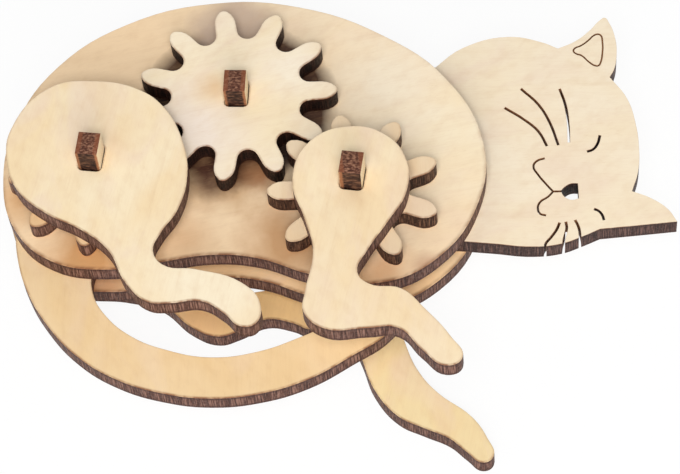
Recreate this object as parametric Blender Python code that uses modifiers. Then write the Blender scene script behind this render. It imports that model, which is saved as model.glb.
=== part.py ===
"""Sleeping-cat puzzle: flat plywood pieces stacked in seven layers on three bar shafts.

The lower and the upper gear layer each hold a train of three gears. A leg sits on each end of
the hind and the fore shaft, so turning one leg swings all four.

Frame: +X toward the nose, +Y toward the cat's back, +Z out of the front legs. The object lies
on its rear legs at z = 0, and its origin is the centre of its footprint. Lengths are in metres.
Outline points are drawn in millimetres round meshing shafts DRAWN_SPACING apart, and keep their
place about the shafts when the module changes.
"""

import math
from dataclasses import dataclass

import bmesh
import bpy
from mathutils import Matrix, Vector

MM = 0.001

# Sheet and layers, counted up from the table
PLY = 3.0 * MM
LAYER_GAP = 0.3 * MM
REAR_LEGS, REAR_GEARS, BACK_PLATE, MIDDLE, FRONT_PLATE, FRONT_GEARS, FRONT_LEGS = range(7)

# Gear trains: equal hind and fore gears either side of a larger idler
MODULE = 2.29 * MM
END_TEETH = 9
IDLER_TEETH = 11
END_ADDENDUM = 1.77 * MM
IDLER_ADDENDUM = 1.55 * MM
ROOT_CLEARANCE = 1.57 * MM
TOOTH_PLAY = 1.2 * MM
TIP_ROUND = 0.9 * MM
TOOTH_SHOULDER = 2.2 * MM
VALLEY_ROUND = 1.5 * MM
IDLER_PHASE = math.radians(99.1)
HIND_SLACK = math.radians(-1.9)
FORE_SLACK = math.radians(-1.2)

# Where the shafts stand: the fore shaft is the reference of the body, head and tail outlines
DRAWN_SPACING = 22.9
FORE_TO_IDLER = math.radians(136.0)
IDLER_TO_HIND = math.radians(210.7)

# Bar shafts, their holes, tight across the bar's width, and their round running bores
SHAFT_WIDTH = 3.1 * MM
SHAFT_DEPTH = 3.5 * MM
SHAFT_FIT = 0.15 * MM
SHAFT_SLOT_PLAY = 0.35 * MM
SLOT_CORNER = 0.7 * MM
BORE_PLAY = 0.10 * MM
LEG_SHAFT_END = 3.95 * MM
IDLER_SHAFT_END = 3.6 * MM
HIND_SHAFT_TURN = math.radians(-7.0)
IDLER_SHAFT_TURN = math.radians(-2.5)
FORE_SHAFT_TURN = math.radians(-8.5)
REAR_HIND_TURN = math.radians(21.3)

# Laser cuts in the face
WHISKER_CUT = 0.36 * MM
EYE_CUT = 0.36 * MM
MOUTH_CUT = 0.28 * MM
EAR_CUT = 0.22 * MM
EAR_DEPTH = 0.4 * MM
CUT_OVERSHOOT = 1.0 * MM

# Where the roots of the head and the tail meet between the plates
ROOT_SEAM_X = -25.35
SEAM_GAP = 0.3 * MM

SMOOTH_STEPS = 6
CUT_STEPS = 4
TIP_STEPS = 3
FLANK_STEPS = 3
VALLEY_STEPS = 4
CORNER_STEPS = 3
BORE_SIDES = 40
WELD = 0.001 * MM
SHARP_ANGLE = math.radians(40.0)

C = "corner"

# Outlines from the fore shaft, in millimetres, each point marked C where the edge has a corner
BODY = [
    (-49.5, 5.0), (-48.0, 14.4), (-42.5, 23.5), (-33.0, 30.2), (-20.5, 33.4), (-8.0, 32.3),
    (4.1, 27.0), (13.0, 19.4), (18.0, 8.6), (17.1, -0.75), (11.3, -9.4), (3.4, -13.0),
    (-6.2, -11.4), (-13.5, -8.65), (-20.0, -7.95), (-26.8, -8.85), (-34.5, -9.8), (-42.2, -8.2),
    (-47.4, -3.2),
]
HEAD_FACE = [
    (9.5, 22.3), (15.4, 26.6), (21.8, 28.25), (26.7, 27.15), (29.0, 26.0, C), (31.45, 27.1),
    (33.7, 28.95), (35.25, 30.65), (35.9, 31.0), (36.45, 30.2), (37.25, 27.5), (37.35, 24.8),
    (36.85, 22.1), (36.2, 20.9, C), (38.5, 17.25), (39.55, 12.8), (39.8, 9.0), (39.5, 5.3),
    (38.5, 2.1, C), (41.0, 0.95), (43.35, -0.95), (44.5, -2.95, C), (39.0, -3.4), (33.8, -3.8, C),
    (31.3, -4.9), (28.6, -5.9), (24.5, -6.3), (18.6, -5.6), (12.0, -5.0),
]
HEAD_ROOT_LOW = [(4.0, -5.8), (-4.0, -6.0), (-12.0, -3.8), (-22.0, -1.5, C)]
HEAD_ROOT_HIGH = [(-22.0, 24.5), (-13.0, 27.2), (-3.0, 24.6), (4.0, 21.3)]
TAIL_CURL = [
    (-47.9, -1.6), (-47.3, -6.4), (-45.9, -10.9), (-42.9, -16.3), (-38.5, -21.35),
    (-33.0, -25.05), (-26.45, -27.4), (-20.0, -28.35), (-13.4, -27.85), (-6.8, -25.9),
    (-0.8, -22.5), (4.75, -18.6), (6.8, -14.9), (5.0, -13.4), (1.8, -14.3), (-3.0, -17.1),
    (-7.85, -19.4), (-13.5, -21.4), (-20.1, -22.1), (-26.25, -20.75), (-30.9, -18.65),
    (-34.7, -15.25), (-36.6, -11.7), (-36.7, -8.0), (-34.5, -4.0), (-29.0, -1.8),
]
TAIL_ROOT = [(-30.0, 20.0), (-37.0, 20.6), (-44.0, 15.0), (-47.6, 6.0)]
ROOT_LOW_Y = -1.5
ROOT_HIGH_Y = 17.5

# Leg outlines from their own shaft, in millimetres
HIND_LEG = [
    (0.0, 12.5), (-6.4, 11.6), (-11.5, 4.9), (-11.8, 0.1), (-10.2, -4.6), (-5.9, -8.6),
    (-1.5, -11.0), (2.7, -14.4), (5.6, -20.0), (8.5, -22.7), (11.5, -23.0), (15.7, -22.8),
    (18.9, -24.8), (21.0, -26.75), (23.15, -26.4), (23.7, -23.4), (21.2, -20.2), (14.8, -17.9),
    (10.4, -17.1), (9.0, -14.8), (9.9, -12.3), (12.2, -8.6), (13.4, -3.2), (12.5, 2.6),
    (9.9, 7.8), (6.4, 10.8),
]
FRONT_FORE_LEG = [
    (0.0, 8.1), (-5.9, 5.9), (-8.3, -0.3), (-6.6, -6.3), (-5.4, -11.3), (-6.5, -17.8),
    (-6.7, -20.5), (-3.9, -23.2), (2.0, -23.3), (6.0, -23.4), (9.1, -26.7), (12.3, -29.2),
    (14.5, -28.1), (13.0, -24.9), (9.6, -20.6), (6.5, -17.5), (2.1, -16.6), (0.6, -14.8),
    (1.9, -11.6), (4.8, -7.1), (7.4, -2.4), (7.2, 3.0), (4.5, 6.6),
]
REAR_FORE_LEG = [
    (0.0, 8.1), (-5.8, 5.8), (-8.2, 0.0), (-5.9, -6.5), (-2.4, -12.0), (0.1, -17.8),
    (1.9, -22.8), (5.2, -27.0), (8.8, -28.9), (12.3, -30.6), (14.6, -32.7), (16.7, -34.3),
    (18.2, -33.4), (17.4, -30.6), (15.4, -27.4), (10.7, -23.5), (8.3, -20.5), (6.6, -16.7),
    (5.6, -12.0), (6.6, -5.8), (8.2, 0.0), (5.8, 5.8),
]

# Cuts in the face from the fore shaft, in millimetres
NOSE = [
    (28.6, 2.5, C), (29.3, 3.2), (30.1, 3.6), (31.0, 3.6, C), (31.05, 1.2, C), (30.0, 1.0),
    (29.0, 1.6),
]
UPPER_WHISKERS = [
    [(21.1, 16.3), (24.0, 14.1), (25.8, 12.2), (26.9, 9.8)],
    [(23.5, 19.4), (25.9, 16.7), (27.4, 13.7), (28.5, 9.9)],
    [(29.0, 19.2), (29.7, 16.6), (30.0, 13.7), (30.0, 10.3)],
]
LOWER_WHISKERS = [
    [(28.25, -2.6), (27.8, -3.7), (26.9, -5.0), (26.2, -5.9), (26.1, -6.4)],
    [(29.1, -2.5), (29.2, -3.4), (29.05, -4.2), (28.8, -5.1), (28.65, -6.1)],
    [(30.4, -2.25), (30.75, -3.1), (30.95, -4.0), (31.0, -5.1)],
]
EYES = [
    [(34.4, 11.3), (34.0, 9.9), (33.3, 9.0), (32.5, 8.7)],
    [(33.1, -0.6), (33.7, -0.9), (34.2, -1.6), (34.4, -2.4)],
]
MOUTH = [
    [(26.5, 7.8), (25.4, 7.4), (24.9, 6.6), (25.5, 5.2), (26.6, 3.6), (27.5, 2.4)],
    [(27.5, 2.4), (26.8, 1.6), (25.6, 0.7), (25.3, -0.3), (25.6, -1.1), (26.4, -1.4)],
    [(27.5, 2.4), (28.1, 2.4), (28.8, 2.4)],
]
EAR = [
    (31.2, 25.5), (31.5, 26.0), (32.2, 26.3), (33.4, 27.2), (34.2, 28.0), (34.8, 28.2),
    (35.2, 28.0), (35.4, 26.9), (35.3, 24.8), (35.0, 23.4), (34.7, 22.9), (34.2, 22.9),
    (33.4, 23.5), (32.3, 24.7), (31.6, 25.0),
]

# Colour and roughness of each kind of piece
PALE_BIRCH = (0.86, 0.73, 0.52)
HEAD_BIRCH = (0.84, 0.70, 0.50)
GEAR_BIRCH = (0.85, 0.74, 0.56)
PLATE_BIRCH = (0.78, 0.62, 0.41)
TAIL_BIRCH = (0.80, 0.62, 0.38)
SHAFT_BIRCH = (0.42, 0.24, 0.13)
BIRCH_ROUGHNESS = 0.6


@dataclass(frozen=True)
class Loop:
    """One closed edge of a flat piece, in metres; smooth ones bend through their points."""

    points: list
    smooth: bool = False


@dataclass(frozen=True)
class Gear:
    """A gear's teeth, tip and root radius."""

    teeth: int
    tip: float
    root: float


def rotated(x, y, angle):
    """Turn a point about the origin."""
    return (
        x * math.cos(angle) - y * math.sin(angle),
        x * math.sin(angle) + y * math.cos(angle),
    )


def toward(start, bearing, distance):
    """The point at a bearing and distance from a start point."""
    dx, dy = rotated(distance, 0.0, bearing)
    return (start[0] + dx, start[1] + dy)


CENTRE_DISTANCE = MODULE * (END_TEETH + IDLER_TEETH) / 2
DRAWN_UNIT = CENTRE_DISTANCE / DRAWN_SPACING
FORE_PIVOT = (0.0, 0.0)
IDLER_PIVOT = toward(FORE_PIVOT, FORE_TO_IDLER, CENTRE_DISTANCE)
HIND_PIVOT = toward(IDLER_PIVOT, IDLER_TO_HIND, CENTRE_DISTANCE)

END_TIP = MODULE * END_TEETH / 2 + END_ADDENDUM
IDLER_TIP = MODULE * IDLER_TEETH / 2 + IDLER_ADDENDUM
END_GEAR = Gear(END_TEETH, END_TIP, CENTRE_DISTANCE - IDLER_TIP - ROOT_CLEARANCE)
IDLER_GEAR = Gear(IDLER_TEETH, IDLER_TIP, CENTRE_DISTANCE - END_TIP - ROOT_CLEARANCE)
TOOTH_HALF = (math.pi * MODULE - TOOTH_PLAY) / 4
# The flank's arc touches the tip's arc and is upright at the shoulder, half a tooth from its axis
TIP_TO_SHOULDER = TOOTH_SHOULDER - TIP_ROUND
FLANK_ROUND = (TIP_TO_SHOULDER**2 / (TOOTH_HALF - TIP_ROUND) + TIP_ROUND + TOOTH_HALF) / 2
BORE_RADIUS = math.hypot(SHAFT_WIDTH, SHAFT_DEPTH) / 2 + BORE_PLAY


def layer_bottom(layer):
    """Height of a layer's underside over the table."""
    return layer * (PLY + LAYER_GAP)


def layer_top(layer):
    """Height of a layer's upper face over the table."""
    return layer_bottom(layer) + PLY


def meshed_phase(bearing, teeth, driver_teeth, driver_phase):
    """Angle of a tooth of a gear whose driver, seen from it, lies opposite to the bearing."""
    driver_tooth = bearing - driver_phase
    valley = bearing + math.pi + driver_tooth * driver_teeth / teeth
    return valley + math.pi / teeth


def in_metres(points):
    """A drawn outline with its corner marks, in metres."""
    return [(p[0] * DRAWN_UNIT, p[1] * DRAWN_UNIT, *p[2:]) for p in points]


def seam_points(side):
    """The straight end of the head's root (side 1) or of the tail's root (side -1)."""
    x = ROOT_SEAM_X * DRAWN_UNIT + side * SEAM_GAP / 2
    return [(x, ROOT_LOW_Y * DRAWN_UNIT, C), (x, ROOT_HIGH_Y * DRAWN_UNIT, C)]


def arc_points(centre, radius, start, end, steps):
    """Points of an arc, both ends included."""
    turns = [start + (end - start) * i / steps for i in range(steps + 1)]
    return [toward(centre, turn, radius) for turn in turns]


def gear_points(gear, phase):
    """Outline of teeth like pointed arches with rounded tips, joined to round valleys."""
    half_pitch = math.pi / gear.teeth
    tip_centre = (gear.tip - TIP_ROUND, 0.0)
    flank_centre = (gear.tip - TOOTH_SHOULDER, TOOTH_HALF - FLANK_ROUND)
    valley_centre = toward((0.0, 0.0), half_pitch, gear.root + VALLEY_ROUND)
    across = Vector(valley_centre) - Vector(flank_centre)
    lean = math.acos((FLANK_ROUND + VALLEY_ROUND) / across.length)
    tip_end = math.atan2(tip_centre[1] - flank_centre[1], tip_centre[0] - flank_centre[0])
    flank_end = math.atan2(across.y, across.x) - lean
    rising = arc_points(tip_centre, TIP_ROUND, 0.0, tip_end, TIP_STEPS)
    rising += arc_points(flank_centre, FLANK_ROUND, tip_end, flank_end, FLANK_STEPS)[1:]
    valley_start = flank_end + math.pi
    valley_end = half_pitch + math.pi
    rising += arc_points(valley_centre, VALLEY_ROUND, valley_start, valley_end, VALLEY_STEPS)
    falling = [(x, -y) for x, y in reversed(rising[1:-1])]
    tooth = falling + rising
    outline = []
    for index in range(gear.teeth):
        turn = phase + index * 2 * half_pitch
        outline += [rotated(x, y, turn) for x, y in tooth]
    return outline


def circle_loop(centre):
    """Round running bore about a shaft."""
    return Loop([toward(centre, math.tau * i / BORE_SIDES, BORE_RADIUS) for i in range(BORE_SIDES)])


def slot_loop(turn):
    """Hole with rounded corners that grips a bar turned by an angle across its width."""
    inner_x = SHAFT_WIDTH / 2 + SHAFT_FIT - SLOT_CORNER
    inner_y = SHAFT_DEPTH / 2 + SHAFT_SLOT_PLAY - SLOT_CORNER
    quarter = math.pi / 2
    edge = []
    for index, (side_x, side_y) in enumerate(((1, 1), (-1, 1), (-1, -1), (1, -1))):
        centre = (side_x * inner_x, side_y * inner_y)
        start = index * quarter
        edge += arc_points(centre, SLOT_CORNER, start, start + quarter, CORNER_STEPS)
    return Loop([rotated(x, y, turn) for x, y in edge])


def wood(name, colour):
    """Matt wood of one colour."""
    material = bpy.data.materials.new(name)
    material.use_nodes = True
    shader = material.node_tree.nodes["Principled BSDF"]
    shader.inputs["Base Color"].default_value = (*colour, 1.0)
    shader.inputs["Roughness"].default_value = BIRCH_ROUGHNESS
    shader.inputs["Metallic"].default_value = 0.0
    return material


def add_spline(curve, points, smooth, cyclic, steps):
    """Add one line to a curve: straight runs, or a bend through points with corners kept."""
    spline = curve.splines.new("BEZIER" if smooth else "POLY")
    knots = spline.bezier_points if smooth else spline.points
    knots.add(len(points) - 1)
    spline.use_cyclic_u = cyclic
    spline.resolution_u = steps
    for knot, point in zip(knots, points):
        if smooth:
            handle = "VECTOR" if point[2:] == (C,) else "AUTO"
            knot.co = (point[0], point[1], 0.0)
            knot.handle_left_type = handle
            knot.handle_right_type = handle
        else:
            knot.co = (point[0], point[1], 0.0, 1.0)


def curve_to_mesh(curve, collection):
    """Turn a curve into a welded mesh object of the same name."""
    source = bpy.data.objects.new(curve.name, curve)
    collection.objects.link(source)
    evaluated = source.evaluated_get(bpy.context.evaluated_depsgraph_get())
    mesh = bpy.data.meshes.new_from_object(evaluated)
    name = curve.name
    bpy.data.objects.remove(source)
    bpy.data.curves.remove(curve)
    build = bmesh.new()
    build.from_mesh(mesh)
    bmesh.ops.remove_doubles(build, verts=build.verts, dist=WELD)
    build.to_mesh(mesh)
    build.free()
    mesh.name = name
    piece = bpy.data.objects.new(name, mesh)
    collection.objects.link(piece)
    return piece


def shade(piece):
    """Smooth shading that keeps the cut edges sharp."""
    piece.data.shade_smooth()
    piece.data.set_sharp_from_angle(angle=SHARP_ANGLE)


class Cat:
    """The puzzle: its collections, its fixed root and the empties on its three shafts."""

    def __init__(self):
        self.parts = bpy.data.collections.new("sleeping_cat_puzzle")
        self.cutters = bpy.data.collections.new("face_cutters")
        for collection in (self.parts, self.cutters):
            bpy.context.scene.collection.children.link(collection)
        self.root = self.add_empty("cat_origin", (0.0, 0.0), None)
        self.hind = self.add_empty("hind_axis", HIND_PIVOT, self.root)
        self.idler = self.add_empty("idler_axis", IDLER_PIVOT, self.root)
        self.fore = self.add_empty("fore_axis", FORE_PIVOT, self.root)

    def add_empty(self, name, place, parent):
        """Empty that carries other pieces."""
        empty = bpy.data.objects.new(name, None)
        empty.empty_display_size = SHAFT_WIDTH
        empty.location = (*place, 0.0)
        empty.parent = parent
        self.parts.objects.link(empty)
        return empty

    def add_flat(self, name, loops, layer, parent, colour, turn=0.0):
        """Flat piece cut from the sheet: its outer edge first, then its holes."""
        curve = bpy.data.curves.new(name, "CURVE")
        curve.dimensions = "2D"
        curve.fill_mode = "BOTH"
        curve.extrude = PLY / 2
        for loop in loops:
            add_spline(curve, loop.points, loop.smooth, True, SMOOTH_STEPS)
        piece = curve_to_mesh(curve, self.parts)
        piece.data.materials.append(wood(name, colour))
        piece.parent = parent
        piece.location = (0.0, 0.0, layer_bottom(layer) + PLY / 2)
        piece.rotation_euler = (0.0, 0.0, turn)
        shade(piece)
        return piece

    def add_shaft(self, name, top, turn, parent):
        """Bar from the table up to a height."""
        mesh = bpy.data.meshes.new(name)
        build = bmesh.new()
        size = Matrix.Diagonal((SHAFT_WIDTH, SHAFT_DEPTH, top, 1.0))
        bmesh.ops.create_cube(build, size=1.0, matrix=size)
        build.to_mesh(mesh)
        build.free()
        mesh.materials.append(wood(name, SHAFT_BIRCH))
        shaft = bpy.data.objects.new(name, mesh)
        self.parts.objects.link(shaft)
        shaft.parent = parent
        shaft.location = (0.0, 0.0, top / 2)
        shaft.rotation_euler = (0.0, 0.0, turn)

    def add_cutter(self, name, points, width, depth=PLY + CUT_OVERSHOOT, closed=False):
        """Thin upright wall along a line, as wide as the laser's cut and this deep in the head."""
        curve = bpy.data.curves.new(name, "CURVE")
        curve.dimensions = "2D"
        curve.fill_mode = "NONE"
        curve.extrude = (depth + CUT_OVERSHOOT) / 2
        add_spline(curve, in_metres(points), True, closed, CUT_STEPS)
        cutter = curve_to_mesh(curve, self.cutters)
        cutter.parent = self.root
        cutter.location = (0.0, 0.0, layer_top(MIDDLE) + (CUT_OVERSHOOT - depth) / 2)
        cutter.hide_render = True
        cutter.display_type = "WIRE"
        wall = cutter.modifiers.new("Cut width", "SOLIDIFY")
        wall.thickness = width
        wall.offset = 0.0
        wall.use_even_offset = True


def overshot(points):
    """A drawn whisker line carried on past the chin's edge."""
    last = Vector(points[-1])
    reach = (last - Vector(points[-2])).normalized() * (CUT_OVERSHOOT / DRAWN_UNIT)
    return [*points, tuple(last + reach)]


def build_face_cutters(cat):
    """Walls that cut the whiskers, eyes and mouth through the head and score the inner ear."""
    for index, line in enumerate(UPPER_WHISKERS, start=1):
        cat.add_cutter(f"upper_whisker_cut_{index}", line, WHISKER_CUT)
    for index, line in enumerate(LOWER_WHISKERS, start=1):
        cat.add_cutter(f"lower_whisker_cut_{index}", overshot(line), WHISKER_CUT)
    for index, line in enumerate(EYES, start=1):
        cat.add_cutter(f"eye_cut_{index}", line, EYE_CUT)
    for index, line in enumerate(MOUTH, start=1):
        cat.add_cutter(f"mouth_cut_{index}", line, MOUTH_CUT)
    cat.add_cutter("ear_score", EAR, EAR_CUT, EAR_DEPTH, closed=True)


def build_body(cat):
    """Two like plates with the head and the tail between them, glued to each other."""
    bores = [circle_loop(HIND_PIVOT), circle_loop(IDLER_PIVOT), circle_loop(FORE_PIVOT)]
    plate = [Loop(in_metres(BODY), smooth=True), *bores]
    cat.add_flat("back_body_plate", plate, BACK_PLATE, cat.root, PLATE_BIRCH)
    cat.add_flat("front_body_plate", plate, FRONT_PLATE, cat.root, PLATE_BIRCH)

    head_edge = in_metres(HEAD_FACE + HEAD_ROOT_LOW) + seam_points(1) + in_metres(HEAD_ROOT_HIGH)
    nose = Loop(in_metres(NOSE), smooth=True)
    head_loops = [Loop(head_edge, smooth=True), circle_loop(IDLER_PIVOT), circle_loop(FORE_PIVOT), nose]
    head = cat.add_flat("head", head_loops, MIDDLE, cat.root, HEAD_BIRCH)
    build_face_cutters(cat)
    cuts = head.modifiers.new("Face cuts", "BOOLEAN")
    cuts.operation = "DIFFERENCE"
    cuts.operand_type = "COLLECTION"
    cuts.collection = cat.cutters

    tail_edge = in_metres(TAIL_CURL) + seam_points(-1) + in_metres(TAIL_ROOT)
    tail_loops = [Loop(tail_edge, smooth=True), circle_loop(HIND_PIVOT)]
    cat.add_flat("tail", tail_loops, MIDDLE, cat.root, TAIL_BIRCH)


def build_gears(cat):
    """The same train of three gears under the back plate and over the front plate."""
    hind_from_idler = IDLER_TO_HIND
    fore_from_idler = FORE_TO_IDLER + math.pi
    hind_mesh = meshed_phase(hind_from_idler, END_TEETH, IDLER_TEETH, IDLER_PHASE)
    fore_mesh = meshed_phase(fore_from_idler, END_TEETH, IDLER_TEETH, IDLER_PHASE)
    trains = {
        "hind": (END_GEAR, hind_mesh + HIND_SLACK, HIND_SHAFT_TURN, cat.hind),
        "idler": (IDLER_GEAR, IDLER_PHASE, IDLER_SHAFT_TURN, cat.idler),
        "fore": (END_GEAR, fore_mesh + FORE_SLACK, FORE_SHAFT_TURN, cat.fore),
    }
    for side, layer in (("rear", REAR_GEARS), ("front", FRONT_GEARS)):
        for place, (gear, phase, shaft_turn, axis) in trains.items():
            loops = [Loop(gear_points(gear, phase)), slot_loop(shaft_turn)]
            cat.add_flat(f"{side}_{place}_gear", loops, layer, axis, GEAR_BIRCH)


def build_legs(cat):
    """Four legs, each gripping an end of a shaft; the rear hind leg is turned forward."""
    legs = (
        ("front_hind_leg", HIND_LEG, FRONT_LEGS, cat.hind, HIND_SHAFT_TURN, 0.0),
        ("front_fore_leg", FRONT_FORE_LEG, FRONT_LEGS, cat.fore, FORE_SHAFT_TURN, 0.0),
        ("rear_hind_leg", HIND_LEG, REAR_LEGS, cat.hind, HIND_SHAFT_TURN, REAR_HIND_TURN),
        ("rear_fore_leg", REAR_FORE_LEG, REAR_LEGS, cat.fore, FORE_SHAFT_TURN, 0.0),
    )
    for name, outline, layer, axis, shaft_turn, turn in legs:
        loops = [Loop(in_metres(outline), smooth=True), slot_loop(shaft_turn - turn)]
        cat.add_flat(name, loops, layer, axis, PALE_BIRCH, turn)


def build_shafts(cat):
    """Three bars; the outer two reach past the front legs, the idler's past its gear."""
    leg_shaft_top = layer_top(FRONT_LEGS) + LEG_SHAFT_END
    idler_top = layer_top(FRONT_GEARS) + IDLER_SHAFT_END
    cat.add_shaft("hind_shaft", leg_shaft_top, HIND_SHAFT_TURN, cat.hind)
    cat.add_shaft("idler_shaft", idler_top, IDLER_SHAFT_TURN, cat.idler)
    cat.add_shaft("fore_shaft", leg_shaft_top, FORE_SHAFT_TURN, cat.fore)


def centre_on_footprint(cat):
    """Move the root so that the world origin lies under the middle of the whole object."""
    bpy.context.view_layer.update()
    depsgraph = bpy.context.evaluated_depsgraph_get()
    corners = []
    for piece in cat.parts.objects:
        if piece.type == "MESH":
            mesh = piece.evaluated_get(depsgraph).to_mesh()
            corners += [piece.matrix_world @ vertex.co for vertex in mesh.vertices]
    for axis in range(2):
        along = [corner[axis] for corner in corners]
        cat.root.location[axis] -= (min(along) + max(along)) / 2
    bpy.context.view_layer.update()


def main():
    """Build the puzzle in an empty scene."""
    for old in list(bpy.data.objects):
        bpy.data.objects.remove(old, do_unlink=True)
    cat = Cat()
    build_body(cat)
    build_gears(cat)
    build_legs(cat)
    build_shafts(cat)
    centre_on_footprint(cat)


main()
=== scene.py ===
"""Looks of the sleeping-cat puzzle: laser-cut birch plywood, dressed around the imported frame.

Every sheet and bar starts from a copy of its CAD solid. The copy gets charred, softened rims, a
toasted band beside each cut and the relief that a laser leaves in the plies of a cut wall.
"""

import logging  # noqa: E402
import math  # noqa: E402
from collections.abc import Callable  # noqa: E402
from dataclasses import dataclass, replace  # noqa: E402
from enum import Enum  # noqa: E402

import bpy  # noqa: E402
from mathutils import Matrix, Vector  # noqa: E402


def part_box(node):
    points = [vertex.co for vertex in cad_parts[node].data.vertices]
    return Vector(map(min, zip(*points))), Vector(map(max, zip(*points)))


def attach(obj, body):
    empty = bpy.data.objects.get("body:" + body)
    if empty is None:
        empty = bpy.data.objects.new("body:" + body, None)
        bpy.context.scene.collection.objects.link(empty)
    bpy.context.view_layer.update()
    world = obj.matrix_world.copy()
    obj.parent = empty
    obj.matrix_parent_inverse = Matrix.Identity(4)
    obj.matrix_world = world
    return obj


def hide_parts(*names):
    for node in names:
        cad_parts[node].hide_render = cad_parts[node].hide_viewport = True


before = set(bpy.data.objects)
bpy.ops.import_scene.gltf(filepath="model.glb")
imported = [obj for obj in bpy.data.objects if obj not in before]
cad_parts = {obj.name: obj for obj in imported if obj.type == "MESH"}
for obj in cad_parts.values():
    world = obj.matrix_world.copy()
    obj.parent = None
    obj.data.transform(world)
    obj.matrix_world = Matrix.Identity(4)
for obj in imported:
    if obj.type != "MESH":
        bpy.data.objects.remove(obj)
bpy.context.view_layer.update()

LOG = logging.getLogger("cat_puzzle")

MM = 0.001
Colour = tuple[float, float, float]
Triple = tuple[float, float, float]
Socket = bpy.types.NodeSocket
Wanted = Callable[[Vector, Vector], bool]

# Attributes that the materials read
TOAST = "toast"
SHEET_HEIGHT = "sheet_height"

# Material slots of a sheet piece, the last three on the head alone, and those of a bar
VENEER_SLOT, CHAR_SLOT, SCORE_SLOT, LINE_SLOT, HOLE_SLOT = range(5)
END_SLOT = 2

# An engraved line's floor lies between these depths below the front face
SCORE_DEPTHS = (0.3 * MM, 0.45 * MM)

# The Z part of a face's normal is over the first on a flat face, under the second on a wall
FLAT_Z, WALL_Z = 0.9, 0.3

# In degrees: the CAD's triangles that lie this flat are one face, and walls that bend less than
# the second are shaded as one
MERGE_ANGLE, SMOOTH_ANGLE = 0.3, 34.0

WHITE = (1.0, 1.0, 1.0, 1.0)


class Grain(Enum):
    """Which way a piece's face grain runs in the photographed pose, in degrees from +X."""

    ALONG = 0.0
    SLANTED = 12.0
    UPRIGHT = 90.0
    LEANING = 78.0


def linear(red: int, green: int, blue: int) -> Colour:
    """Turns a display colour into the scene-linear one that a shader takes.

    Args:
        red: Red from 0 to 255.
        green: Green from 0 to 255.
        blue: Blue from 0 to 255.

    Returns:
        The three linear values.
    """
    parts = (channel / 255 for channel in (red, green, blue))
    return tuple(
        part / 12.92 if part <= 0.04045 else ((part + 0.055) / 1.055) ** 2.4 for part in parts
    )


@dataclass(frozen=True)
class Pattern:
    """A noise texture, and between which of its values it comes up to its full share.

    The cycles are per metre along the grain, across it and upwards, and the lean is in degrees
    off the grain.
    """

    cycles: Triple
    between: tuple[float, float]
    share: float = 1.0
    lean: float = 0.0
    detail: float = 2.0
    roughness: float = 0.5
    distortion: float = 0.0


# Patterns of the veneer, from broad to fine
DRIFT = Pattern((22, 34, 22), (0.30, 0.70), share=0.3, detail=1.0, roughness=0.4)
CLOUDS = Pattern((75, 130, 90), (0.36, 0.62), detail=3.0, distortion=0.6)
FLUSHES = Pattern(
    (65, 150, 90), (0.48, 0.68), share=0.5, lean=14.0, detail=3.0, roughness=0.55, distortion=0.8
)
PATCH_EDGE = Pattern((260, 260, 260), (0.25, 0.75), share=0.5, detail=3.0, roughness=0.55)
DAPPLE = Pattern((420, 640, 420), (0.46, 0.74), share=0.14, lean=30.0, roughness=0.6)
STREAKS = Pattern(
    (55, 760, 300), (0.52, 0.76), share=0.11, detail=3.0, roughness=0.55, distortion=0.35
)
FIBRES = Pattern(
    (330, 4600, 900), (0.50, 0.80), share=0.10, detail=3.0, roughness=0.6, distortion=0.2
)
PORES = Pattern((900, 6500, 2500), (0.64, 0.80), share=0.14, detail=1.0)

# Patterns of a cut wall, the last one for the ragged edges of its plies
BURN = Pattern((210, 210, 210), (0.48, 0.70), share=0.25, detail=3.0, roughness=0.6)
SPECKS = Pattern((2700, 2700, 2700), (0.54, 0.70), share=0.2, roughness=0.6)
RAGGED = replace(SPECKS, between=(0.20, 0.80), share=0.12)

# Cycles per metre of the slope from a sheet's pale side to its tan one, about one in its length
TAN_CYCLES = (11.0, 11.0, 11.0)

# Every second pattern of a veneer starts this far off, in metres, less the piece's own shift
PATTERN_OFFSET = 0.37

# How far a patch's edge spills past its outer radius, as a share of its fade
PATCH_SPILL = 0.2


@dataclass(frozen=True)
class ShadeAndTonePatch:
    """A soft round patch of another tone about an upright line. Most are painted shade under and
    between the gears and legs, one lightens the plate's back with painted light, and the rest are
    the wood's own tone and toast.

    Its place and radii are in millimetres. It is full within the inner radius and gone a little
    past the outer one.
    """

    x: float
    y: float
    inner: float
    outer: float
    share: float
    colour: Colour


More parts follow.
